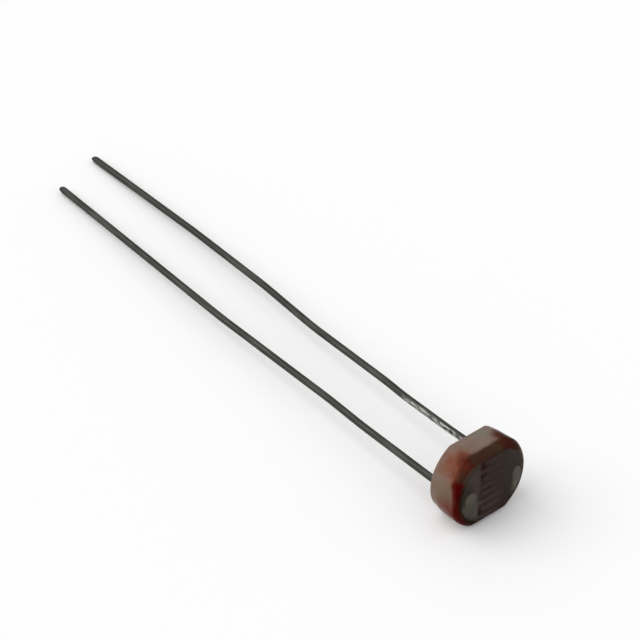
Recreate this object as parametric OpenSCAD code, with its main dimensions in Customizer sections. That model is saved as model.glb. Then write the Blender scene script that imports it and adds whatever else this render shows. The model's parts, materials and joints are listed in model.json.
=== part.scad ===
// Photoresistor: a ceramic button with two flats, a light-sensitive film with a metal comb on each side of a
// winding track, a clear resin coat and two wire leads. It lies on one flat and the tip of its longer lead.
// Each piece is drawn in the part's own frame, with the back of the base at Z 0, the face towards +Z,
// the leads side by side along X and the flats across Y. lay_down() then puts it on the table.

/* [Ceramic base] */
// Width of the base, across its two round sides
base_w = 4.86; // [4.7:0.02:5.4]
// Height of the base, across its two flats
base_h = 4.22; // [3.8:0.02:4.5]
// Thickness of the base, from its back to its face
base_t = 1.87; // [1.4:0.01:2.4]
// Radius of the round on the front edge of the base
base_round = 0.2; // [0.12:0.01:0.22]
// Bevel of the back edge of the base
base_bevel = 0.08; // [0.03:0.01:0.15]
// Gap between a lead and the wall of its hole
hole_gap = 0.05; // [0.02:0.01:0.1]

/* [Light-sensitive film] */
// Thickness of the film
film_t = 0.03; // [0.02:0.005:0.05]
// Depth to which the film laps down the side of the base
film_lap = 0.55; // [0.3:0.05:0.8]

/* [Electrodes] */
// Thickness of the metal
metal_t = 0.02; // [0.01:0.005:0.04]
// Width of the rim of bare film beside the electrodes, at the round sides
rim_w = 0.32; // [0.31:0.01:0.4]
// Width of the rim of bare film above and below the electrodes, at the flats
rim_flat_w = 0.2; // [0.2:0.01:0.4]
// Distance of the electrodes from the middle of the face, towards the right lead
mask_off = 0.1; // [0:0.02:0.1]
// Least width of the metal round a lead hole
pad_w = 0.04; // [0.02:0.01:0.05]
// Width of one finger of a comb
finger_w = 0.24; // [0.14:0.01:0.26]
// Width of the winding track between the combs
track_w = 0.265; // [0.14:0.005:0.3]
// Length of the fingers, from the spine of a comb to their tips
finger_l = 1.55; // [1.4:0.05:1.7]

/* [Contacts] */
// Width of the left dab of conductive paste, in the direction from lead to lead
contact_left_w = 0.9; // [0.85:0.01:0.95]
// Length of the left dab, in the direction across the flats
contact_left_l = 1.5; // [1.2:0.05:1.6]
// Distance from the left lead to the middle of its dab, towards the middle of the face
contact_left_in = 0.2; // [0.1:0.01:0.2]
// Distance from the left lead to the middle of its dab, towards the flat it lies on
contact_left_down = 0.2; // [0:0.05:0.25]
// Width of the right dab
contact_right_w = 0.75; // [0.65:0.01:0.8]
// Length of the right dab
contact_right_l = 1.3; // [1:0.05:1.5]
// Distance from the right lead to the middle of its dab, away from the middle of the face
contact_right_out = 0.1; // [0:0.01:0.12]
// Distance from the right lead to the middle of its dab, towards the flat it lies on
contact_right_down = 0.05; // [0:0.05:0.2]
// Height of a dab above the electrode
contact_h = 0.08; // [0.05:0.01:0.09]
// Depth to which the paste fills the mouth of a lead hole
contact_sink = 0.25; // [0.1:0.05:0.5]

/* [Clear coat] */
// Thickness of the resin over the face of the base
coat_front = 0.15; // [0.14:0.01:0.5]
// Thickness of the resin on the round sides of the base
coat_side_t = 0.09; // [0.07:0.01:0.25]
// Thickness of the resin on the flats of the base
coat_flat_t = 0.12; // [0.07:0.01:0.25]
// Radius of the round on the front edge of the coat
coat_round = 0.4; // [0.3:0.01:0.42]
// Height of the bare band of base at the back
coat_bare = 0.2; // [0.1:0.05:0.5]
// Height over which the coat thins out towards the bare band
coat_slope_h = 0.45; // [0.2:0.05:0.5]
// Thickness of the coat where it ends
coat_edge_t = 0.02; // [0.01:0.005:0.05]

/* [Leads] */
// Diameter of the lead wire
lead_d = 0.4; // [0.3:0.01:0.5]
// Distance between the two leads at the base
lead_pitch = 3.4; // [3.2:0.05:3.5]
// Distance of the leads below the middle of the base, towards the flat it lies on
lead_drop = 0.25; // [0:0.05:0.4]
// Length of the left lead behind the base
lead_left_l = 32.8; // [20:0.1:45]
// Length of the right lead behind the base
lead_right_l = 34.1; // [20:0.1:45]
// Height of the lead end above the electrode, inside the paste
lead_proud = 0.008; // [0.004:0.001:0.008]
// Length of the bevel at the cut end of a lead
lead_bevel = 0.06; // [0.03:0.01:0.1]
// Swelling of the wire at each slight bend
bend_swell = 0.005; // [0.003:0.001:0.02]

/* [Hidden] */
$fn = 96;

// Slight bends from handling: the place of each as a share of the lead's length, and its turn in degrees,
// towards +X
left_bends = [[0.18, 2], [0.26, -2], [0.53, 2]];
right_bends = [
    [0.015, -2.3], [0.075, 2.3], [0.185, 3.5], [0.225, -3], [0.4, 3.5], [0.54, -2.5], [0.72, -1.5]
];

hole_d = lead_d + 2 * hole_gap;
film_top = base_t + film_t;
metal_top = film_top + metal_t;
coat_w = base_w + 2 * coat_side_t;
coat_h = base_h + 2 * coat_flat_t;
coat_top = base_t + coat_front;
// The coat has its full thickness from this height up
coat_full = coat_bare + coat_slope_h;
lead_end = metal_top + lead_proud;

// Combs: the fingers fill the height of the mask's opening at the spines, and each comb has half of them
finger_pitch = finger_w + track_w;
field_r = base_w / 2 - rim_w;
field_h = base_h - 2 * rim_flat_w;
spine_x = (finger_l + track_w) / 2;
spine_h = min(field_h, 2 * sqrt(pow(field_r, 2) - pow(spine_x, 2)));
comb_fingers = floor((spine_h + track_w) / (2 * finger_pitch));

// At rest the coat's lower edge and the tip of the longer lead touch the table
long_lead = max(lead_left_l, lead_right_l);
rest_drop = coat_h / 2 - lead_drop - lead_d / 2;
rest_tilt = atan(rest_drop / (long_lead - lead_bevel + coat_full));
rest_lift = coat_h / 2 * cos(rest_tilt) - coat_full * sin(rest_tilt);
// Reach to both ends along the table, so that the part is centred on it
reach_back = long_lead * cos(rest_tilt) - lead_drop * sin(rest_tilt);
reach_front = coat_top * cos(rest_tilt);
cut_margin = 1;

// Puts the part on the table, face towards -Y, leads towards +Y and the lower flat down
module lay_down() {
    translate([0, (reach_front - reach_back) / 2, rest_lift])
        rotate([90 - rest_tilt, 0, 0])
            children();
}

// One child at the place of each lead: side is -1 for left and 1 for right
module at_lead(side) {
    translate([side * lead_pitch / 2, -lead_drop, 0])
        children();
}

// Half section of a button with a rounded front edge
module rounded_section(half, bottom, top, round_r) {
    translate([0, bottom])
        square([half, top - round_r - bottom]);
    translate([0, bottom])
        square([half - round_r, top - bottom]);
    translate([half - round_r, top - round_r])
        circle(r = round_r);
}

// Button with two flats: a section turned for the round sides and one drawn across for the flats.
// The first child is the section of the round sides, and the second that of the flats.
module flatted_button(width) {
    intersection() {
        rotate_extrude()
            children(0);
        rotate([90, 0, 90])
            linear_extrude(width + 2 * cut_margin, center = true)
                union() {
                    children(1);
                    mirror([1, 0])
                        children(1);
                }
    }
}

// Half section of the base, with a bevel at the back
module base_section(half) {
    polygon([[0, 0], [half - base_bevel, 0], [half, base_bevel], [0, base_bevel]]);
    rounded_section(half, base_bevel, base_t, base_round);
}

module base_blank() {
    flatted_button(base_w) {
        base_section(base_w / 2);
        base_section(base_h / 2);
    }
}

module film_blank() {
    flatted_button(base_w + 2 * film_t) {
        rounded_section(base_w / 2 + film_t, base_t - film_lap, film_top, base_round + film_t);
        rounded_section(base_h / 2 + film_t, base_t - film_lap, film_top, base_round + film_t);
    }
}

// Half section of the coat, which thins out to its edge at the back
module coat_section(half, side_t) {
    edge = half - side_t + coat_edge_t;
    polygon([[0, coat_bare], [edge, coat_bare], [half, coat_full], [0, coat_full]]);
    rounded_section(half, coat_full, coat_top, coat_round);
}

module lead_holes() {
    for (side = [-1, 1])
        at_lead(side)
            translate([0, 0, -cut_margin])
                cylinder(d = hole_d, h = metal_top + 2 * cut_margin);
}

// Opening of the mask: the outline of the face less its rim
module electrode_field() {
    intersection() {
        circle(r = field_r);
        square([base_w, field_h], center = true);
    }
}

// Left comb: a spine over the left side, and every second finger, of which the lowest one reaches the rim
module comb_outline() {
    translate([-base_w, -base_h / 2])
        square([base_w - spine_x, base_h]);
    for (i = [1 : comb_fingers]) {
        finger_y = (comb_fingers + 0.5 - 2 * i) * finger_pitch;
        outermost = i == comb_fingers;
        tip_r = finger_w / 2;
        translate([-spine_x, finger_y - tip_r])
            square([finger_l - tip_r, finger_w]);
        translate([-spine_x + finger_l - tip_r, finger_y])
            circle(r = tip_r);
        if (outermost)
            translate([-spine_x, finger_y - base_h])
                square([finger_l, base_h]);
    }
}

// Both combs are alike, and the right one is the left one turned half round. Each goes round its lead hole.
module electrode(side) {
    difference() {
        translate([0, 0, film_top])
            linear_extrude(metal_t)
                union() {
                    translate([mask_off, 0])
                        rotate([0, 0, side < 0 ? 0 : 180])
                            intersection() {
                                electrode_field();
                                comb_outline();
                            }
                    at_lead(side)
                        circle(d = hole_d + 2 * pad_w);
                }
        lead_holes();
    }
}

// Radius of the arc that spans a width and rises to a height
function arc_radius(width, height) = (pow(width / 2, 2) + pow(height, 2)) / (2 * height);

// Oval dome on Z 0: the top of a spindle that lies along Y
module oval_dome(width, length, height) {
    across_r = arc_radius(width, height);
    along_r = arc_radius(length, height);
    intersection() {
        translate([0, 0, height - across_r])
            rotate([90, 0, 0])
                rotate_extrude()
                    intersection() {
                        translate([across_r - along_r, 0])
                            circle(r = along_r);
                        translate([0, -length])
                            square([2 * across_r, 2 * length]);
                    }
        translate([-width, -length, 0])
            cube([2 * width, 2 * length, 2 * height]);
    }
}

// Dab of paste over the lead end, which also fills the mouth of the lead hole
module contact(side) {
    width = side < 0 ? contact_left_w : contact_right_w;
    length = side < 0 ? contact_left_l : contact_right_l;
    right = side < 0 ? contact_left_in : contact_right_out;
    down = side < 0 ? contact_left_down : contact_right_down;
    at_lead(side)
        difference() {
            union() {
                translate([right, -down, metal_top])
                    oval_dome(width, length, contact_h);
                translate([0, 0, metal_top - contact_sink])
                    cylinder(d = hole_d, h = contact_sink);
            }
            translate([0, 0, metal_top - contact_sink - cut_margin])
                cylinder(d = lead_d, h = contact_sink + cut_margin + lead_proud);
        }
}

// Wire along +Z in straight runs, with a slight bend between them. Each bend is [share of length, turn].
module wire(length, bends, i = 0) {
    from = i == 0 ? 0 : bends[i - 1][0];
    if (i == len(bends)) {
        run = (1 - from) * length - lead_bevel;
        cylinder(d = lead_d, h = run);
        translate([0, 0, run])
            cylinder(d1 = lead_d, d2 = lead_d - 2 * lead_bevel, h = lead_bevel);
    } else {
        run = (bends[i][0] - from) * length;
        cylinder(d = lead_d, h = run);
        translate([0, 0, run]) {
            sphere(d = lead_d + 2 * bend_swell);
            rotate([0, bends[i][1], 0])
                wire(length, bends, i + 1);
        }
    }
}

module lead(side, length, bends) {
    at_lead(side) {
        cylinder(d = lead_d, h = lead_end);
        rotate([180, 0, 0])
            wire(length, bends);
    }
}

// Pressed ceramic button with a hole for each lead
module ceramic_base() {
    color("antiquewhite")
        difference() {
            base_blank();
            lead_holes();
        }
}

// Sintered film on the face, lapped over the front edge
module cds_film() {
    color("orangered")
        difference() {
            film_blank();
            base_blank();
            lead_holes();
        }
}

module electrode_left() {
    color("dimgray")
        electrode(-1);
}

module electrode_right() {
    color("dimgray")
        electrode(1);
}

module contact_left() {
    color("silver")
        contact(-1);
}

module contact_right() {
    color("silver")
        contact(1);
}

module lead_left() {
    color("gray")
        lead(-1, lead_left_l, left_bends);
}

module lead_right() {
    color("gray")
        lead(1, lead_right_l, right_bends);
}

// Clear resin cast over the face and most of the side
module clear_coat() {
    color("tan", 0.4)
        difference() {
            flatted_button(coat_w) {
                coat_section(coat_w / 2, coat_side_t);
                coat_section(coat_h / 2, coat_flat_t);
            }
            base_blank();
            film_blank();
            for (side = [-1, 1]) {
                electrode(side);
                contact(side);
                at_lead(side)
                    cylinder(d = lead_d, h = lead_end);
            }
        }
}

lay_down() ceramic_base();
lay_down() cds_film();
lay_down() electrode_left();
lay_down() electrode_right();
lay_down() contact_left();
lay_down() contact_right();
lay_down() lead_left();
lay_down() lead_right();
lay_down() clear_coat();
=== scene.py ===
# Photoresistor: a ceramic button with a light-sensitive film, two metal combs, two wire leads and a clear
# resin coat, in the order in which such a part is put together. Lengths are in millimetres, in the part's
# own frame: back of the base at Z 0, face towards +Z, leads side by side along X, flats across Y.
import json
import math

import bpy
from mathutils import Matrix, Vector, noise


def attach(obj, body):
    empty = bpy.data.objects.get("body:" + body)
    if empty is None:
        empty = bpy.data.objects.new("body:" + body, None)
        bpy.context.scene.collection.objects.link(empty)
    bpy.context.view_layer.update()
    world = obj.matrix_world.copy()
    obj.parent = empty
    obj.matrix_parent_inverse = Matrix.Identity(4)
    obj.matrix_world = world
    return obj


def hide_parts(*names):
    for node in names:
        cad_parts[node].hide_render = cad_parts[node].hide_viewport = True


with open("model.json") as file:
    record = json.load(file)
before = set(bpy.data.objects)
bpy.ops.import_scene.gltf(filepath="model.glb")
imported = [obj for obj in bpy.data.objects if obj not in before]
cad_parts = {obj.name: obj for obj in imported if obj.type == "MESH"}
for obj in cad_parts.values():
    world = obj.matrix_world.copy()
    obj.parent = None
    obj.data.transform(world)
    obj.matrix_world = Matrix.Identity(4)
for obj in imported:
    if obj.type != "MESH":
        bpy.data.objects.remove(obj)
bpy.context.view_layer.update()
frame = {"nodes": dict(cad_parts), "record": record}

# Ceramic base: a button pressed from alumina powder and fired, with two flats and a hole for each lead.
# It is matte, finely grained and a little grey. Where the film was fired on, its colour has crept into
# the ceramic, most of all at the corners between the flats and the round sides.
MM = 0.001
mounts = {mount["name"]: mount for mount in frame["record"]["mounts"]}
seat = mounts["board_seat"]
seat_place = Vector(seat["pos_m"])
part_turn = math.atan2(seat["axis"][1], -seat["axis"][2])
lay_down = Matrix.Translation(seat_place) @ Matrix.Rotation(part_turn, 4, "X") @ Matrix.Scale(MM, 4)
lift_up = lay_down.inverted()

ceramic_pale = (0.213, 0.147, 0.127)
ceramic_dull = (0.186, 0.128, 0.1)
ceramic_grain = (0.135, 0.098, 0.076)
cloud_size = 1.1
cloud_fade = (0.35, 0.65)
grain_size = 0.07
grain_fade = (0.6, 0.75)
grain_strength = 0.5
pore_size = 0.05
pore_depth = 0.006
corner_r = 0.35
corner_samples = 8

# Heights where the film's spray on the side starts and is full, and the size and depth of its ragged edge
spray_start = 1.46
spray_full = 1.82
spray_lumps = 0.35
spray_ragged = 0.2
# How much further down it came on the upper flat, and the places along Y where that starts and is full
flat_lap = 0.36
flat_start = 1.2
flat_full = 2.12
# Middle and reach of each place where the spray ran further down the side or fell short, and by how much
spray_runs = [
    (Vector((-2.2, 1.05, 1.5)), 0.55, 0.2),
    (Vector((-2.43, -0.05, 1.5)), 0.9, -0.2),
]
# On the left the thin edge of the spray reddens the ceramic: places along X, heights and colour
left_start = -1.3
left_full = -1.75
fade_start = 1.41
fade_full = 1.6
lap_faded = (0.115, 0.03, 0.02)
# Colours of the lap over the upper flat, by their place along X
lap_rust = (0.08, 0.016, 0.009)
lap_brown = (0.047, 0.0215, 0.014)
lap_olive = (0.05, 0.03, 0.016)
lap_wine = (0.052, 0.013, 0.008)
lap_shades = [
    (-1.55, lap_rust),
    (-1.32, lap_wine),
    (-1.12, lap_brown),
    (0.1, lap_brown),
    (0.5, lap_olive),
    (1.0, lap_wine),
]

stain_lumps = 0.45
stain_ragged = 0.7
stain_orange = (0.17, 0.054, 0.026)
stain_tan = (0.2, 0.105, 0.075)
stain_red = (0.085, 0.013, 0.006)
stain_pink = (0.14, 0.03, 0.02)
stain_cream = (0.142, 0.1, 0.058)
stain_grey = (0.18, 0.155, 0.125)
stain_dark = (0.045, 0.013, 0.009)
# Middle, reach and colour of each stain
stains = [
    (Vector((-2.43, 0.1, 1.2)), 1.3, stain_cream),
    (Vector((-1.75, 1.7, 0.5)), 0.95, stain_tan),
    (Vector((-1.5, 1.91, 1.1)), 1.03, stain_orange),
    (Vector((-1.85, 1.57, 1.1)), 1.15, stain_orange),
    (Vector((-2.12, 1.18, 1.45)), 0.4, stain_orange),
    (Vector((-1.43, 1.97, 1.42)), 0.75, stain_red),
    (Vector((-1.72, 1.72, 1.6)), 0.75, stain_red),
    (Vector((0.7, 2.11, 0.3)), 1.1, stain_grey),
    (Vector((1.4, 2.0, 1.1)), 0.6, stain_orange),
    (Vector((1.3, 2.1, 1.4)), 0.5, stain_red),
    (Vector((1.55, 1.9, 1.25)), 1.15, stain_red),
    (Vector((0.7, 2.11, 1.5)), 0.45, lap_olive),
    (Vector((1.8, 1.65, 1.45)), 1.4, stain_dark),
    (Vector((-2.33, -0.75, 1.35)), 1.3, stain_pink),
    (Vector((-2.1, -1.25, 1.4)), 0.8, stain_pink),
    (Vector((2.2, -0.9, 1.4)), 0.9, stain_orange),
    (Vector((0.6, -2.05, 1.5)), 0.7, stain_pink),
]


def start_material(name):
    """A new node material, its tree and its shader."""
    material = bpy.data.materials.new(name)
    material.use_nodes = True
    return material, material.node_tree, material.node_tree.nodes["Principled BSDF"]


def dress(node, material):
    """Give a CAD node that material and no other."""
    materials = frame["nodes"][node].data.materials
    materials.clear()
    materials.append(material)


def part_place(tree):
    """The place on the part, in its own frame and in millimetres."""
    row_place = tree.nodes.new("ShaderNodeTexCoord")
    turned = tree.nodes.new("ShaderNodeMapping")
    turned.vector_type = "TEXTURE"
    turned.inputs["Location"].default_value = seat_place
    turned.inputs["Rotation"].default_value = (part_turn, 0, 0)
    turned.inputs["Scale"].default_value = (MM, MM, MM)
    tree.links.new(row_place.outputs["Object"], turned.inputs["Vector"])
    return turned.outputs["Vector"]


def part_axes(tree, place):
    """The place along X, Y and Z."""
    axes = tree.nodes.new("ShaderNodeSeparateXYZ")
    tree.links.new(place, axes.inputs["Vector"])
    return axes.outputs


def reckon(tree, operation, first, second=0.0):
    """One sum on one or two values, each a number or a socket."""
    sum_node = tree.nodes.new("ShaderNodeMath")
    sum_node.operation = operation
    for socket, value in zip(sum_node.inputs, (first, second)):
        if isinstance(value, (int, float)):
            socket.default_value = value
        else:
            tree.links.new(value, socket)
    return sum_node.outputs["Value"]


def grade(tree, value, start, end):
    """0 where the value is at start, 1 where it is at end, and smooth in between."""
    ramp = tree.nodes.new("ShaderNodeMapRange")
    ramp.interpolation_type = "SMOOTHSTEP"
    ramp.inputs["From Min"].default_value = start
    ramp.inputs["From Max"].default_value = end
    tree.links.new(value, ramp.inputs["Value"])
    return ramp.outputs["Result"]


def mottle(tree, place, spot, detail=3.0, stretch=(1, 1, 1)):
    """Cloudy noise around 0.5 with spots of that size, longer along an axis that is stretched."""
    spread = tree.nodes.new("ShaderNodeMapping")
    spread.inputs["Scale"].default_value = [1 / (spot * length) for length in stretch]
    cloud = tree.nodes.new("ShaderNodeTexNoise")
    cloud.inputs["Scale"].default_value = 1
    cloud.inputs["Detail"].default_value = detail
    tree.links.new(place, spread.inputs["Vector"])
    tree.links.new(spread.outputs["Vector"], cloud.inputs["Vector"])
    return cloud.outputs["Fac"]


def patchy(tree, place, spot, fade, detail=3.0, stretch=(1, 1, 1)):
    """Soft patches of that size: 0 where the mottle is below the fade and 1 where it is above."""
    return grade(tree, mottle(tree, place, spot, detail, stretch), *fade)


def uneven(tree, place, spot, amount):
    """A little more or less than 0 from spot to spot, to make an edge ragged."""
    return reckon(tree, "MULTIPLY", reckon(tree, "SUBTRACT", mottle(tree, place, spot), 0.5), amount)


def gap_from(tree, place, middle):
    """How far the place is from a point."""
    gap = tree.nodes.new("ShaderNodeVectorMath")
    gap.operation = "DISTANCE"
    gap.inputs[1].default_value = middle
    tree.links.new(place, gap.inputs[0])
    return gap.outputs["Value"]


def close_to(tree, place, middle, reach):
    """1 at a point, and 0 from its reach on."""
    return grade(tree, gap_from(tree, place, middle), reach, 0)


def blend_colours(tree, share, first, second):
    """The first colour where share is 0 and the second where it is 1, each a colour or a socket."""
    mix = tree.nodes.new("ShaderNodeMix")
    mix.data_type = "RGBA"
    sockets = {socket.identifier: socket for socket in mix.inputs}
    tree.links.new(share, sockets["Factor_Float"])
    for name, colour in (("A_Color", first), ("B_Color", second)):
        if isinstance(colour, tuple):
            sockets[name].default_value = (*colour, 1)
        else:
            tree.links.new(colour, sockets[name])
    return next(socket for socket in mix.outputs if socket.identifier == "Result_Color")


def shades_across(tree, value, shades):
    """Colours that run into each other as the value grows, from a list of values and their colours."""
    start, end = shades[0][0], shades[-1][0]
    span = tree.nodes.new("ShaderNodeMapRange")
    span.inputs["From Min"].default_value = start
    span.inputs["From Max"].default_value = end
    tree.links.new(value, span.inputs["Value"])
    ramp = tree.nodes.new("ShaderNodeValToRGB")
    tree.links.new(span.outputs["Result"], ramp.inputs["Fac"])
    stops = ramp.color_ramp.elements
    for at, colour in shades[1:-1]:
        stops.new((at - start) / (end - start))
    for stop, (at, colour) in zip(stops, shades):
        stop.color = (*colour, 1)
    return ramp.outputs["Color"]


def roughen(tree, shader, pattern, depth, corner=0.0):
    """Relief of that depth from a pattern of 0 to 1, on a surface whose corners shade as if rounded."""
    bump = tree.nodes.new("ShaderNodeBump")
    bump.inputs["Distance"].default_value = depth * MM
    tree.links.new(pattern, bump.inputs["Height"])
    tree.links.new(bump.outputs["Normal"], shader.inputs["Normal"])
    if corner:
        bevel = tree.nodes.new("ShaderNodeBevel")
        bevel.samples = corner_samples
        bevel.inputs["Radius"].default_value = corner * MM
        tree.links.new(bevel.outputs["Normal"], bump.inputs["Normal"])


def ceramic_colour(tree, place):
    """Fired ceramic: cloudy, with fine darker grains."""
    clouds = patchy(tree, place, cloud_size, cloud_fade)
    grains = patchy(tree, place, grain_size, grain_fade, detail=1)
    cloudy = blend_colours(tree, clouds, ceramic_pale, ceramic_dull)
    return blend_colours(tree, reckon(tree, "MULTIPLY", grains, grain_strength), cloudy, ceramic_grain)


def stained_colour(tree, place, colour):
    """The colour with every stain laid over it, full in its middle and ragged at its edge."""
    ragged = uneven(tree, place, stain_lumps, stain_ragged)
    for middle, reach, stain in stains:
        share = grade(tree, reckon(tree, "ADD", gap_from(tree, place, middle), ragged), reach, 0)
        colour = blend_colours(tree, share, colour, stain)
    return colour


def spray_height(tree, place):
    """Height above the back, raised where the spray came further down and lowered where it fell short."""
    axes = part_axes(tree, place)
    ragged = uneven(tree, place, spray_lumps, spray_ragged)
    on_flat = reckon(tree, "MULTIPLY", grade(tree, axes["Y"], flat_start, flat_full), flat_lap)
    height = reckon(tree, "ADD", reckon(tree, "ADD", axes["Z"], ragged), on_flat)
    for middle, reach, run in spray_runs:
        raised = reckon(tree, "MULTIPLY", close_to(tree, place, middle, reach), run)
        height = reckon(tree, "ADD", height, raised)
    return height


def left_side(tree, place):
    """1 towards the left side and 0 over the rest of the part."""
    return grade(tree, part_axes(tree, place)["X"], left_start, left_full)


def sprayed_colour(tree, place, film_colour):
    """The film's colour where the spray is thick, fading to stained ceramic, through red on the left."""
    height = spray_height(tree, place)
    colour = stained_colour(tree, place, ceramic_colour(tree, place))
    fading = grade(tree, height, fade_start, fade_full)
    fading = reckon(tree, "MULTIPLY", fading, left_side(tree, place))
    colour = blend_colours(tree, fading, colour, lap_faded)
    return blend_colours(tree, grade(tree, height, spray_start, spray_full), colour, film_colour)


fired_ceramic, tree, shader = start_material("fired_ceramic")
place = part_place(tree)
lap_colour = shades_across(tree, part_axes(tree, place)["X"], lap_shades)
tree.links.new(sprayed_colour(tree, place, lap_colour), shader.inputs["Base Color"])
shader.inputs["Roughness"].default_value = 0.7
shader.inputs["Specular IOR Level"].default_value = 0.1
roughen(tree, shader, mottle(tree, place, pore_size), pore_depth, corner_r)
dress("ceramic_base", fired_ceramic)

# Light-sensitive film: cadmium sulphide powder, sprayed on the face and sintered. It is deep red at the
# left edge, brown over the upper flat, and dark in the winding track between the combs. Where the spray
# thinned out on the sides, it fades into the ceramic.
film_red = (0.057, 0.002, 0.0014)
film_grey = (0.054, 0.038, 0.03)
film_green = (0.017, 0.012, 0.006)
film_dark = (0.02, 0.008, 0.0055)
film_dull = (0.041, 0.0265, 0.022)
film_brown = (0.043, 0.019, 0.01)
film_wine = (0.018, 0.005, 0.004)
# Colours of the edge, of the rim on the left and of the rim on the right, by their place along Y
edge_shades = [(1.0, film_green), (1.2, film_brown), (1.6, film_brown), (1.85, lap_rust)]
left_shades = [(0.7, film_green), (1.2, film_grey)]
right_shades = [(-1.6, film_wine), (-0.6, film_dull), (0.6, film_grey), (1.1, film_grey), (1.5, stain_dark)]
edge_depth = 0.05
# The bare rim by its distance from the middle of the face, and its change from left to right
rim_start = 1.95
rim_full = 2.1
right_start = -0.9
right_full = 0.3
# The edge of the upper flat along Y, and the red on the left, along Y and by its distance from the middle
lap_start = 1.85
lap_full = 1.97
red_top = 1.36
red_full = 1.06
red_inner = 2.05
red_outer = 2.35
crystal_size = 0.06
crystal_fade = (0.5, 0.8)
crystal_strength = 0.3
film_grain = 0.04
film_relief = 0.005


def part_box(node):
    """Lowest and highest corner of a CAD node in the part's own frame."""
    corners = [lift_up @ vertex.co for vertex in frame["nodes"][node].data.vertices]
    return Vector(map(min, *corners)), Vector(map(max, *corners))


film_top = part_box("cds_film")[1].z
# Stray metal dulls the track in patches, at the right and low on the face, but not at the dark spot
stray_size = 0.6
stray_fade = (0.42, 0.6)
stray_right = (-0.7, 0.25)
stray_low = (-0.2, -0.9)
dark_spot = Vector((-0.7, -1.52, film_top))
dark_reach = (0.1, 0.5)

sintered_film, tree, shader = start_material("sintered_film")
place = part_place(tree)
x, y, z = part_axes(tree, place)
stray_metal = patchy(tree, place, stray_size, stray_fade)
stray_metal = reckon(tree, "MAXIMUM", stray_metal, grade(tree, x, *stray_right))
stray_metal = reckon(tree, "MAXIMUM", stray_metal, grade(tree, y, *stray_low))
off_spot = grade(tree, gap_from(tree, place, dark_spot), *dark_reach)
stray_metal = reckon(tree, "MINIMUM", stray_metal, off_spot)
track_colour = blend_colours(tree, stray_metal, film_dark, film_dull)

on_face = grade(tree, z, film_top - edge_depth, film_top)
edge_colour = shades_across(tree, y, edge_shades)
left_colour = blend_colours(tree, on_face, edge_colour, shades_across(tree, y, left_shades))
right_colour = shades_across(tree, y, right_shades)
rim_colour = blend_colours(tree, grade(tree, x, right_start, right_full), left_colour, right_colour)

across_squared = reckon(tree, "POWER", x, 2)
up_squared = reckon(tree, "POWER", y, 2)
from_axis = reckon(tree, "SQRT", reckon(tree, "ADD", across_squared, up_squared))
film_colour = blend_colours(tree, grade(tree, from_axis, rim_start, rim_full), track_colour, rim_colour)
lap_colour = shades_across(tree, x, lap_shades)
film_colour = blend_colours(tree, grade(tree, y, lap_start, lap_full), film_colour, lap_colour)
red_share = reckon(tree, "MULTIPLY", left_side(tree, place), grade(tree, y, red_top, red_full))
red_share = reckon(tree, "MULTIPLY", red_share, grade(tree, from_axis, red_inner, red_outer))
film_colour = blend_colours(tree, red_share, film_colour, film_red)
crystals = patchy(tree, place, crystal_size, crystal_fade, detail=2)
crystals = reckon(tree, "MULTIPLY", crystals, crystal_strength)
film_colour = blend_colours(tree, crystals, film_colour, film_dark)
tree.links.new(sprayed_colour(tree, place, film_colour), shader.inputs["Base Color"])
shader.inputs["Roughness"].default_value = 0.6
shader.inputs["Specular IOR Level"].default_value = 0
roughen(tree, shader, mottle(tree, place, film_grain), film_relief)
dress("cds_film", sintered_film)

# Combs: two interlocking electrodes of metal, evaporated onto the film through a mask that lay a little to
# the right. The metal is thin and dull and follows the grain of the film, so it looks cloudy. It is palest
# on the left, where it is thickest, and it thins out along the edges of the fingers. Painted shade darkens
# its left edge and the place above the left dab.
finger_pitch = 0.505
finger_edge = (-0.1, 0.8)
left_spine = (-0.75, -0.85)
right_spine = (0.95, 1.05)
metal_top = part_box("electrode_left")[1].z
# Dark olive painted shade, along the left edge of the combs and above the left dab
metal_painted_shade = (0.024, 0.0155, 0.009)
metal_pale = (0.06, 0.044, 0.036)
metal_dull = (0.055, 0.036, 0.031)
metal_thin = (0.031, 0.0185, 0.0155)
metal_grey = (0.03, 0.022, 0.0165)
metal_rim = (0.042, 0.03, 0.026)
metal_feather = (0.027, 0.0165, 0.0135)
metal_pink = (0.066, 0.039, 0.034)
metal_smeared = (0.095, 0.085, 0.07)
# Colours from left to right, in bands that lean by this much along X for each millimetre of Y
metal_lean = 0.5
metal_shades = [
    (-1.95, metal_painted_shade),
    (-1.3, metal_pale),
    (-0.5, metal_dull),
    (0.4, metal_thin),
    (1.7, metal_grey),
    (2.4, metal_rim),
]
# Middle, reach and colour of each place where paste was smeared over the metal, where it is thin or thick,
# and where shade is painted above the left dab
metal_marks = [
    (Vector((1.8, -1.05, metal_top)), 0.5, metal_smeared),
    (Vector((-1.0, -1.2, metal_top)), 0.8, metal_smeared),
    (Vector((-1.65, 0.42, metal_top)), 0.7, metal_painted_shade),
    (Vector((0.34, -1.0, metal_top)), 0.75, metal_pink),
]
metal_cloud = (0.02, 0.012, 0.01)
metal_cloud_size = 0.3
metal_cloud_fade = (0.42, 0.72)
metal_cloud_strength = 0.5
metal_relief = 0.004

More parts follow.
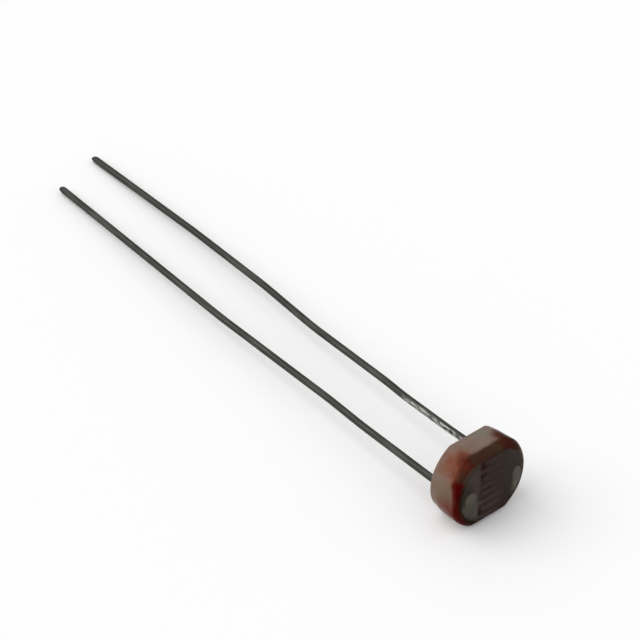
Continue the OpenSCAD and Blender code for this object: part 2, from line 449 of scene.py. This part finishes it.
evaporated_metal, tree, shader = start_material("evaporated_metal")
place = part_place(tree)
x, y = part_axes(tree, place)[:2]
slant = reckon(tree, "ADD", x, reckon(tree, "MULTIPLY", y, metal_lean))
metal_colour = shades_across(tree, slant, metal_shades)
off_finger = reckon(tree, "SUBTRACT", y, finger_pitch / 2)
along_pitch = reckon(tree, "MULTIPLY", off_finger, 2 * math.pi / finger_pitch)
on_finger = grade(tree, reckon(tree, "COSINE", along_pitch), *finger_edge)
on_spine = reckon(tree, "MAXIMUM", grade(tree, x, *left_spine), grade(tree, x, *right_spine))
full_metal = reckon(tree, "MAXIMUM", on_finger, on_spine)
metal_colour = blend_colours(tree, full_metal, metal_feather, metal_colour)
for middle, reach, mark in metal_marks:
    marked = close_to(tree, place, middle, reach)
    metal_colour = blend_colours(tree, marked, metal_colour, mark)
clouds = patchy(tree, place, metal_cloud_size, metal_cloud_fade, detail=5)
clouds = reckon(tree, "MULTIPLY", clouds, metal_cloud_strength)
tree.links.new(blend_colours(tree, clouds, metal_colour, metal_cloud), shader.inputs["Base Color"])
shader.inputs["Metallic"].default_value = 0.3
shader.inputs["Roughness"].default_value = 0.5
shader.inputs["Specular IOR Level"].default_value = 0.05
roughen(tree, shader, mottle(tree, place, film_grain), metal_relief)
for side in ("left", "right"):
    dress(f"electrode_{side}", evaporated_metal)

# Leads: copper-clad steel wire, drawn and tinned, cropped to length and a little bent by handling. Each one
# comes up through its hole in the base, and its end stands in the paste.
wire_r = mounts["left_lead_tip"]["dims"]["r_mm"]
wire_points = 32
wire_step = 0.1
bend_length = 1.6
crop_length = 0.25
crop_flat = 0.45
crop_narrow = 0.2
dent_depth = 0.006
# The place of each slight bend as a share of the length behind the base, and its turn towards +X in degrees
lead_bends = {
    "left": [(0.18, 2), (0.26, -2), (0.53, 2)],
    "right": [
        (0.015, -2.3), (0.075, 2.3), (0.185, 3.5), (0.225, -3), (0.4, 3.5), (0.54, -2.5), (0.72, -1.5),
    ],
}
wire_dark = (0.05, 0.051, 0.045)
wire_bright = (0.1, 0.1, 0.09)
# Colour of the painted highlight on the right lead
wire_highlight = (0.4, 0.4, 0.37)
streak_size = 0.05
streak_stretch = (1, 1, 40)
streak_depth = 0.004
patch_size = 0.9
patch_stretch = (1, 1, 3)
tin_fade = (0.9, 1.25)
wire_sheen = (-0.6, 1.6)
# Next to the base the right lead has a painted highlight along its left flank: its bounds along X, and its
# end
highlight_left = (1.2, 1.3)
highlight_right = (1.56, 1.46)
highlight_end = (-6.4, -5.8)
highlight_patch_size = 0.12
highlight_fade = (0.4, 0.58)
highlight_stretch = (1, 1, 4)


def loft(name, rings, start, end):
    """A closed mesh through rings of points, ended by a point at each end, all in the part's own frame."""
    count = len(rings[0])
    points = [start, *(point for ring in rings for point in ring), end]
    last = len(points) - 1
    faces = []
    for i in range(count):
        j = (i + 1) % count
        faces.append((0, 1 + i, 1 + j))
        for k in range(len(rings) - 1):
            near = 1 + k * count
            far = near + count
            faces.append((near + i, far + i, far + j, near + j))
        faces.append((last, last - count + j, last - count + i))
    mesh = bpy.data.meshes.new(name)
    mesh.from_pydata([lay_down @ Vector(point) for point in points], [], faces)
    mesh.shade_smooth()
    piece = bpy.data.objects.new(name, mesh)
    bpy.context.scene.collection.objects.link(piece)
    return piece


def smooth_step(value):
    """0 below 0, 1 above 1, and smooth in between."""
    value = min(max(value, 0), 1)
    return value * value * (3 - 2 * value)


def wire_top(side):
    """Middle of the upper end of a lead."""
    corners = [lift_up @ vertex.co for vertex in frame["nodes"][f"lead_{side}"].data.vertices]
    top = max(corner.z for corner in corners)
    end = [corner for corner in corners if corner.z > top - wire_r / 10]
    return (Vector(map(min, *end)) + Vector(map(max, *end))) / 2


def wire_ring(x, y, z, turn, crop):
    """A ring round the wire, turned towards +X, finely dented, and pinched as far as it is cropped."""
    ring = []
    for k in range(wire_points):
        angle = 2 * math.pi * k / wire_points
        across = math.cos(angle)
        up = math.sin(angle)
        dent = noise.noise(Vector((x + across, y + up, z / 2))) * dent_depth
        r = wire_r + min(dent, 0)
        ring.append((
            x + r * across * math.cos(turn) * (1 - crop_narrow * crop),
            y + r * up * (1 - crop_flat * crop),
            z + r * across * math.sin(turn),
        ))
    return ring


def ring_middle(ring):
    """The point halfway across a ring of the wire."""
    return Vector(ring[0]).lerp(Vector(ring[wire_points // 2]), 0.5)


drawn_wire, tree, shader = start_material("drawn_wire")
place = part_place(tree)
axes = part_axes(tree, place)
streaks = mottle(tree, place, streak_size, detail=4, stretch=streak_stretch)
patches = mottle(tree, place, patch_size, detail=4, stretch=patch_stretch)
tinned = grade(tree, reckon(tree, "ADD", streaks, patches), *tin_fade)
wire_colour = blend_colours(tree, tinned, wire_dark, wire_bright)
# Painted highlight: a bright streak along the right lead's left flank next to the base, broken into patches
painted_highlight = reckon(tree, "MULTIPLY", grade(tree, axes["X"], *highlight_right), grade(tree, axes["X"], *highlight_left))
painted_highlight = reckon(tree, "MULTIPLY", painted_highlight, grade(tree, axes["Z"], *highlight_end))
highlight_patches = patchy(tree, place, highlight_patch_size, highlight_fade, stretch=highlight_stretch)
painted_highlight = reckon(tree, "MULTIPLY", painted_highlight, highlight_patches)
tree.links.new(blend_colours(tree, painted_highlight, wire_colour, wire_highlight), shader.inputs["Base Color"])
tree.links.new(grade(tree, patches, *wire_sheen), shader.inputs["Roughness"])
shader.inputs["Metallic"].default_value = 1
roughen(tree, shader, streaks, streak_depth)

for side, bends in lead_bends.items():
    lead_low, lead_high = part_box(f"lead_{side}")
    steps = round((lead_high.z - lead_low.z) / wire_step)
    drop = (lead_high.z - lead_low.z) / steps
    x, y, z = wire_top(side)
    rings = []
    for i in range(steps + 1):
        turn = sum(
            math.radians(angle) * smooth_step((share * lead_low.z - z) / bend_length + 0.5)
            for share, angle in bends
        )
        crop = smooth_step(1 - (z - lead_low.z) / crop_length)
        rings.append(wire_ring(x, y, z, turn, crop))
        z -= drop
        x += drop * math.tan(turn)
    lead = loft(f"wire_{side}", rings, ring_middle(rings[0]), ring_middle(rings[-1]))
    lead.data.materials.append(drawn_wire)
    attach(lead, "root")
    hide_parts(f"lead_{side}")

# Contacts: a dab of metal-filled paste on each lead end, put on by hand and cured. It joins the lead to its
# comb, and fills the mouth of the hole below. Each dab is a lump of its own shape.
dab_points = 64
dab_rings = 12
dab_sink = 0.01
dab_ragged = 0.12
dab_swings = 1.6
dome_power = 3
lump_size = 0.4
lump_depth = 0.4
hole_gap = 0.05
# How far the lowest and the highest corner of each dab crept before the paste cured
dab_grown = {
    "left": (Vector((0, -0.16, 0)), Vector((0.14, 0, 0))),
    "right": (Vector((0, 0, 0)), Vector((0, 0, 0))),
}
# Colours by their place along Y
paste_pale = (0.11, 0.095, 0.08)
paste_dull = (0.075, 0.069, 0.054)
paste_thin = (0.045, 0.042, 0.03)
paste_shades = [(-1.3, paste_thin), (-0.75, paste_dull), (-0.1, paste_pale)]
# The bright lower end of the right dab and its darker left margin, and the dark outer margin of the left
# dab, where thin paste is darkened further with painted shade
paste_bright = (0.155, 0.128, 0.112)
bright_spot = Vector((1.82, -0.82, 1.95))
bright_reach = 0.5
right_margin = (1.75, 1.45)
right_dab = (0, 1)
thin_paste_and_shade = (0.022, 0.0195, 0.012)
left_margin = (-1.66, -1.86)
left_margin_low = (-0.65, -0.3)
flake_size = 0.08
flake_fade = (0.35, 0.65)
flake_strength = 0.3
flake_depth = 0.015

cured_paste, tree, shader = start_material("cured_paste")
place = part_place(tree)
x, y = part_axes(tree, place)[:2]
paste_colour = shades_across(tree, y, paste_shades)
bright = close_to(tree, place, bright_spot, bright_reach)
paste_colour = blend_colours(tree, bright, paste_colour, paste_bright)
flakes = mottle(tree, place, flake_size, detail=4)
flaked = reckon(tree, "MULTIPLY", grade(tree, flakes, *flake_fade), flake_strength)
darker_right_margin = reckon(tree, "MULTIPLY", grade(tree, x, *right_margin), grade(tree, x, *right_dab))
darkened_paste = reckon(tree, "MAXIMUM", flaked, darker_right_margin)
paste_colour = blend_colours(tree, darkened_paste, paste_colour, paste_thin)
# The left dab's outer margin: thin paste darkened further with painted shade
left_margin_and_shade = reckon(tree, "MULTIPLY", grade(tree, x, *left_margin), grade(tree, y, *left_margin_low))
tree.links.new(blend_colours(tree, left_margin_and_shade, paste_colour, thin_paste_and_shade), shader.inputs["Base Color"])
shader.inputs["Metallic"].default_value = 0.3
shader.inputs["Roughness"].default_value = 0.6
shader.inputs["Specular IOR Level"].default_value = 0.1
roughen(tree, shader, flakes, flake_depth)

for side in ("left", "right"):
    dab_low, dab_high = part_box(f"contact_{side}")
    low_creep, high_creep = dab_grown[side]
    dab_low += low_creep
    dab_high += high_creep
    middle = (dab_low + dab_high) / 2
    half = (dab_high - dab_low) / 2
    axis = wire_top(side)
    ways = []
    for i in range(dab_points):
        angle = 2 * math.pi * i / dab_points
        ways.append(Vector((math.cos(angle), math.sin(angle), 0)))
    rings = []
    for k in range(1, dab_rings + 1):
        reach = k / dab_rings
        ring = []
        for way in ways:
            ragged = 1 - dab_ragged * (0.5 + noise.noise(way * dab_swings + middle))
            point = middle + Vector((half.x * way.x, half.y * way.y, 0)) * reach * ragged
            lumps = 1 - lump_depth * (0.5 + noise.noise(point / lump_size))
            point.z = metal_top + (dab_high.z - metal_top) * (1 - reach ** dome_power) * lumps
            ring.append(point)
        rings.append(ring)
    sunk = metal_top - dab_sink
    rings.append([Vector((point.x, point.y, sunk)) for point in rings[-1]])
    hole_r = wire_r + hole_gap
    for r, z in ((hole_r, sunk), (hole_r, dab_low.z), (wire_r - dab_sink, dab_low.z)):
        rings.append([Vector((axis.x + r * way.x, axis.y + r * way.y, z)) for way in ways])
    top = Vector((middle.x, middle.y, max(point.z for point in rings[0])))
    bottom = Vector((axis.x, axis.y, dab_low.z))
    dab = loft(f"paste_{side}", rings, top, bottom)
    dab.data.materials.append(cured_paste)
    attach(dab, "root")
    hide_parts(f"contact_{side}")

# Clear coat: epoxy resin, cast over the face and drawn down the sides before it set. Its front edge is
# round, and at the back it thins out on the ceramic in an uneven line. It sits on what is under it with
# no gap.
coat_points = 240
coat_round = 0.4
coat_crown = 0.02
coat_slope = 0.45
coat_edge = 0.02
coat_sink = 0.03
inner_corner = 0.15
inner_drop = 0.2
corner_soft = 48
face_rings = 8
round_rings = 12
side_rings = 4
slope_rings = 8
wander_height = 0.1
wander_swings = 1.8
wave_depth = 0.012
wave_swings = 1.3
# Where the resin gathered or ran thin: the direction and the spread in degrees, and how much thicker it is
resin_runs = [(50, 16, 0.09), (-2, 24, -0.04)]
resin_tint = (0.96, 0.93, 0.9)
resin_stained = (0.35, 0.14, 0.1)
resin_stain_middle = Vector((1.65, 2.0, 1.1))
resin_stain_reach = 1.0
resin_wave_size = 0.6
resin_wave_depth = 0.012
base_high = part_box("ceramic_base")[1]
coat_low, coat_high = part_box("clear_coat")
side_t = coat_high.x - base_high.x
flat_t = coat_high.y - base_high.y


def coat_ring(inset_side, inset_flat, height, wander=0.0, run=0.0):
    """A ring round the part, set in from the coat's full outline on the round sides and on the flats."""
    half_w = coat_high.x - inset_side
    half_h = coat_high.y - inset_flat
    ring = []
    for i in range(coat_points):
        angle = 2 * math.pi * i / coat_points
        way = Vector((math.cos(angle), math.sin(angle), 0))
        to_flat = abs(math.sin(angle)) / half_h
        r = (half_w ** -corner_soft + to_flat ** corner_soft) ** (-1 / corner_soft)
        r += min(wave_depth * noise.noise(way * wave_swings + Vector((0, 0, height))), 0)
        for middle, spread, swell in resin_runs:
            off = (math.degrees(angle) - middle + 180) % 360 - 180
            r += run * swell * math.exp(-((off / spread) ** 2))
        if r * to_flat > 1:
            r = 1 / to_flat
        lift = wander * noise.noise(way * wander_swings)
        ring.append(way * r + Vector((0, 0, height + lift)))
    return ring


rings = []
for k in range(1, face_rings):
    reach = k / face_rings
    inset_side = coat_high.x - (coat_high.x - coat_round) * reach
    inset_flat = coat_high.y - (coat_high.y - coat_round) * reach
    rings.append(coat_ring(inset_side, inset_flat, coat_high.z - coat_crown * reach ** 2, run=reach))
rim_z = coat_high.z - coat_crown
for k in range(round_rings + 1):
    angle = math.pi / 2 * k / round_rings
    inset = coat_round * (1 - math.sin(angle))
    rings.append(coat_ring(inset, inset, rim_z - coat_round * (1 - math.cos(angle)), run=1))
side_top = rim_z - coat_round
slope_top = coat_low.z + coat_slope
for k in range(1, side_rings):
    share = k / side_rings
    rings.append(coat_ring(0, 0, side_top + (slope_top - side_top) * share, run=1 - share))
for k in range(slope_rings + 1):
    share = k / slope_rings
    inset_side = (side_t - coat_edge) * smooth_step(share)
    inset_flat = (flat_t - coat_edge) * smooth_step(share)
    height = slope_top - coat_slope * share
    rings.append(coat_ring(inset_side, inset_flat, height, wander_height * share ** 2))
inner_front = base_high.z - coat_sink
for inset, height, wander in (
    (coat_sink, coat_low.z, wander_height),
    (coat_sink, base_high.z / 2, 0),
    (coat_sink, base_high.z - inner_drop, 0),
    (inner_corner, inner_front, 0),
):
    rings.append(coat_ring(side_t + inset, flat_t + inset, height, wander))
for k in range(face_rings - 1, 0, -1):
    reach = k / face_rings
    inset_side = coat_high.x - (base_high.x - inner_corner) * reach
    inset_flat = coat_high.y - (base_high.y - inner_corner) * reach
    rings.append(coat_ring(inset_side, inset_flat, inner_front))
coat = loft("resin_coat", rings, Vector((0, 0, coat_high.z)), Vector((0, 0, inner_front)))

clear_resin, tree, shader = start_material("clear_resin")
place = part_place(tree)
stained = close_to(tree, place, resin_stain_middle, resin_stain_reach)
tree.links.new(blend_colours(tree, stained, resin_tint, resin_stained), shader.inputs["Base Color"])
shader.inputs["Transmission Weight"].default_value = 1
shader.inputs["IOR"].default_value = 1.07
shader.inputs["Specular Tint"].default_value = (0, 0, 0, 1)
shader.inputs["Roughness"].default_value = 0.16
roughen(tree, shader, mottle(tree, place, resin_wave_size), resin_wave_depth)
coat.data.materials.append(clear_resin)
# Lamps and scattered light reach the film and the ceramic straight through the thin coat
coat.visible_shadow = False
coat.visible_diffuse = False
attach(coat, "root")
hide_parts("clear_coat")

# Studio: a wide pale floor, even light from a white room and one broad soft lamp from the left and behind,
# so that the shadow falls to the right and towards the front. Floor and camera are in metres.
floor_half = 1.0
floor_colour = (0.96, 0.96, 0.96)
room_light = 0.7
lamp_light = 1.35
lamp_spread = 60
lamp_azimuth = -125
lamp_height = 50

floor_mesh = bpy.data.meshes.new("floor")
floor_sides = ((-1, -1), (1, -1), (1, 1), (-1, 1))
floor_corners = [(x * floor_half, y * floor_half, 0) for x, y in floor_sides]
floor_mesh.from_pydata(floor_corners, [], [(0, 1, 2, 3)])
floor = bpy.data.objects.new("floor", floor_mesh)
bpy.context.scene.collection.objects.link(floor)
matte_floor, tree, shader = start_material("matte_floor")
shader.inputs["Base Color"].default_value = (*floor_colour, 1)
shader.inputs["Roughness"].default_value = 1
shader.inputs["Specular IOR Level"].default_value = 0
floor_mesh.materials.append(matte_floor)

room = bpy.data.worlds.new("white_room")
room.use_nodes = True
background = room.node_tree.nodes["Background"]
background.inputs["Color"].default_value = (1, 1, 1, 1)
background.inputs["Strength"].default_value = room_light
bpy.context.scene.world = room


def aim_back(azimuth, height):
    """Turn of a lamp or camera that looks back at the part from that side and height, in degrees."""
    tilt = Matrix.Rotation(math.radians(90 - height), 4, "X")
    return Matrix.Rotation(math.radians(azimuth), 4, "Z") @ tilt


lamp_data = bpy.data.lights.new("soft_lamp", "SUN")
lamp_data.energy = lamp_light
lamp_data.angle = math.radians(lamp_spread)
lamp = bpy.data.objects.new("soft_lamp", lamp_data)
lamp.matrix_world = aim_back(lamp_azimuth, lamp_height)
bpy.context.scene.collection.objects.link(lamp)

# Camera: a long lens that looks down on the part from its left front, tipped a little, as in the
# photograph. It was fitted to the outline of the part there.
view_azimuth = -43.815
view_height = 40.105
view_tip = 4.492
view_distance = 0.13
view_lens = 145.0
view_middle = Vector((-0.003062, -0.0078186, 0.0079153))

camera_data = bpy.data.cameras.new("camera")
camera_data.lens = view_lens
camera_data.clip_start = view_distance / 100
camera = bpy.data.objects.new("camera", camera_data)
turn = aim_back(view_azimuth, view_height) @ Matrix.Rotation(math.radians(view_tip), 4, "Z")
camera.matrix_world = Matrix.Translation(view_middle) @ turn @ Matrix.Translation((0, 0, view_distance))
bpy.context.scene.collection.objects.link(camera)
bpy.context.scene.camera = camera
bpy.context.scene.view_settings.view_transform = "Standard"
